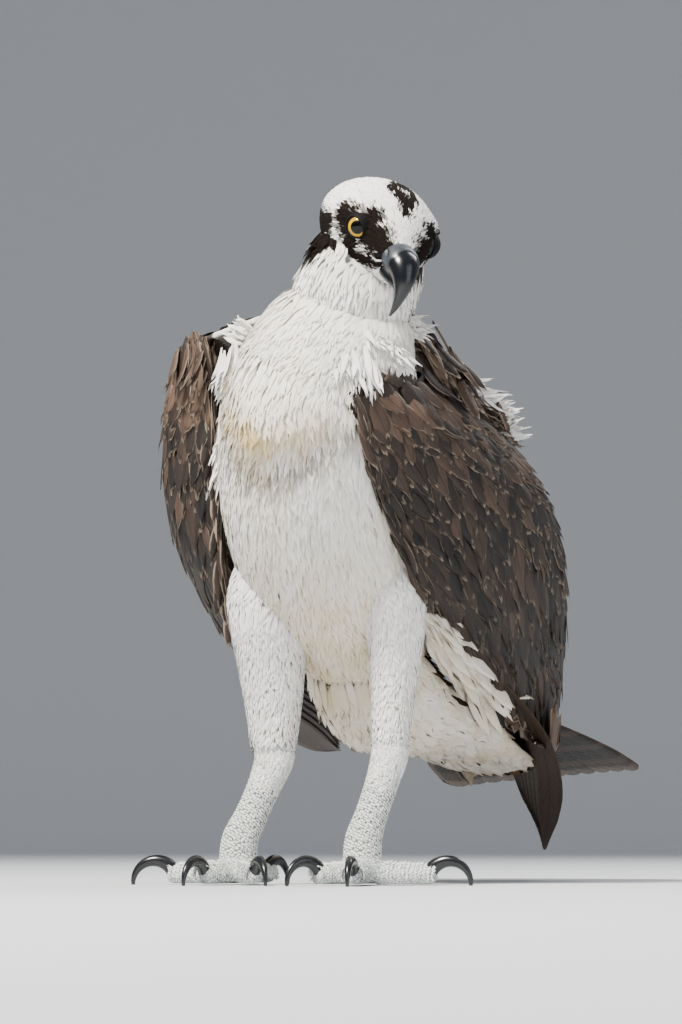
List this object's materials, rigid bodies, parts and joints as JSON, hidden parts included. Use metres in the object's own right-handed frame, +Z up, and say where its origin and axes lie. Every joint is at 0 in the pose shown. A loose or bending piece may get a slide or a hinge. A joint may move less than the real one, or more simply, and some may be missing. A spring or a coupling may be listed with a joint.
{
  "type": "osprey",
  "caption": "Life-size still figure of an osprey standing with drooped wings, its head turned to its left and bowed over a hooked bill.",
  "frame": {"origin": "middle of the figure's box at floor level, close behind the feet", "axes": "+Z up, -Y the way the bird's body faces, +X to the bird's left"},
  "size_m": [0.2128, 0.3966, 0.3969],
  "materials": {
    "body_plumage": "matt white feathers over flesh",
    "flight_feathers": "satin dark brown feathers",
    "scaly_skin": "rough pale grey scaly skin",
    "horn": "polished blue-black horn",
    "eye": "wet yellow eye"
  },
  "bodies": {
    "root": {"belly": "body_plumage", "bill_lower": "horn", "bill_upper": "horn", "breast": "body_plumage", "claw_left_hind": "horn", "claw_left_inner": "horn", "claw_left_middle": "horn", "claw_left_outer": "horn", "claw_right_hind": "horn", "claw_right_inner": "horn", "claw_right_middle": "horn", "claw_right_outer": "horn", "coverts_left": "flight_feathers", "coverts_right": "flight_feathers", "eye_left": "eye", "eye_right": "eye", "foot_left": "scaly_skin", "foot_right": "scaly_skin", "head": "body_plumage", "neck": "body_plumage", "primaries_left": "flight_feathers", "primaries_right": "flight_feathers", "secondaries_left": "flight_feathers", "secondaries_right": "flight_feathers", "shank_left": "body_plumage", "shank_right": "body_plumage", "tail_base": "body_plumage", "tail_feathers": "flight_feathers", "tarsus_left": "scaly_skin", "tarsus_right": "scaly_skin", "toe_left_hind": "scaly_skin", "toe_left_inner": "scaly_skin", "toe_left_middle": "scaly_skin", "toe_left_outer": "scaly_skin", "toe_right_hind": "scaly_skin", "toe_right_inner": "scaly_skin", "toe_right_middle": "scaly_skin", "toe_right_outer": "scaly_skin"}
  },
  "joints": []
}
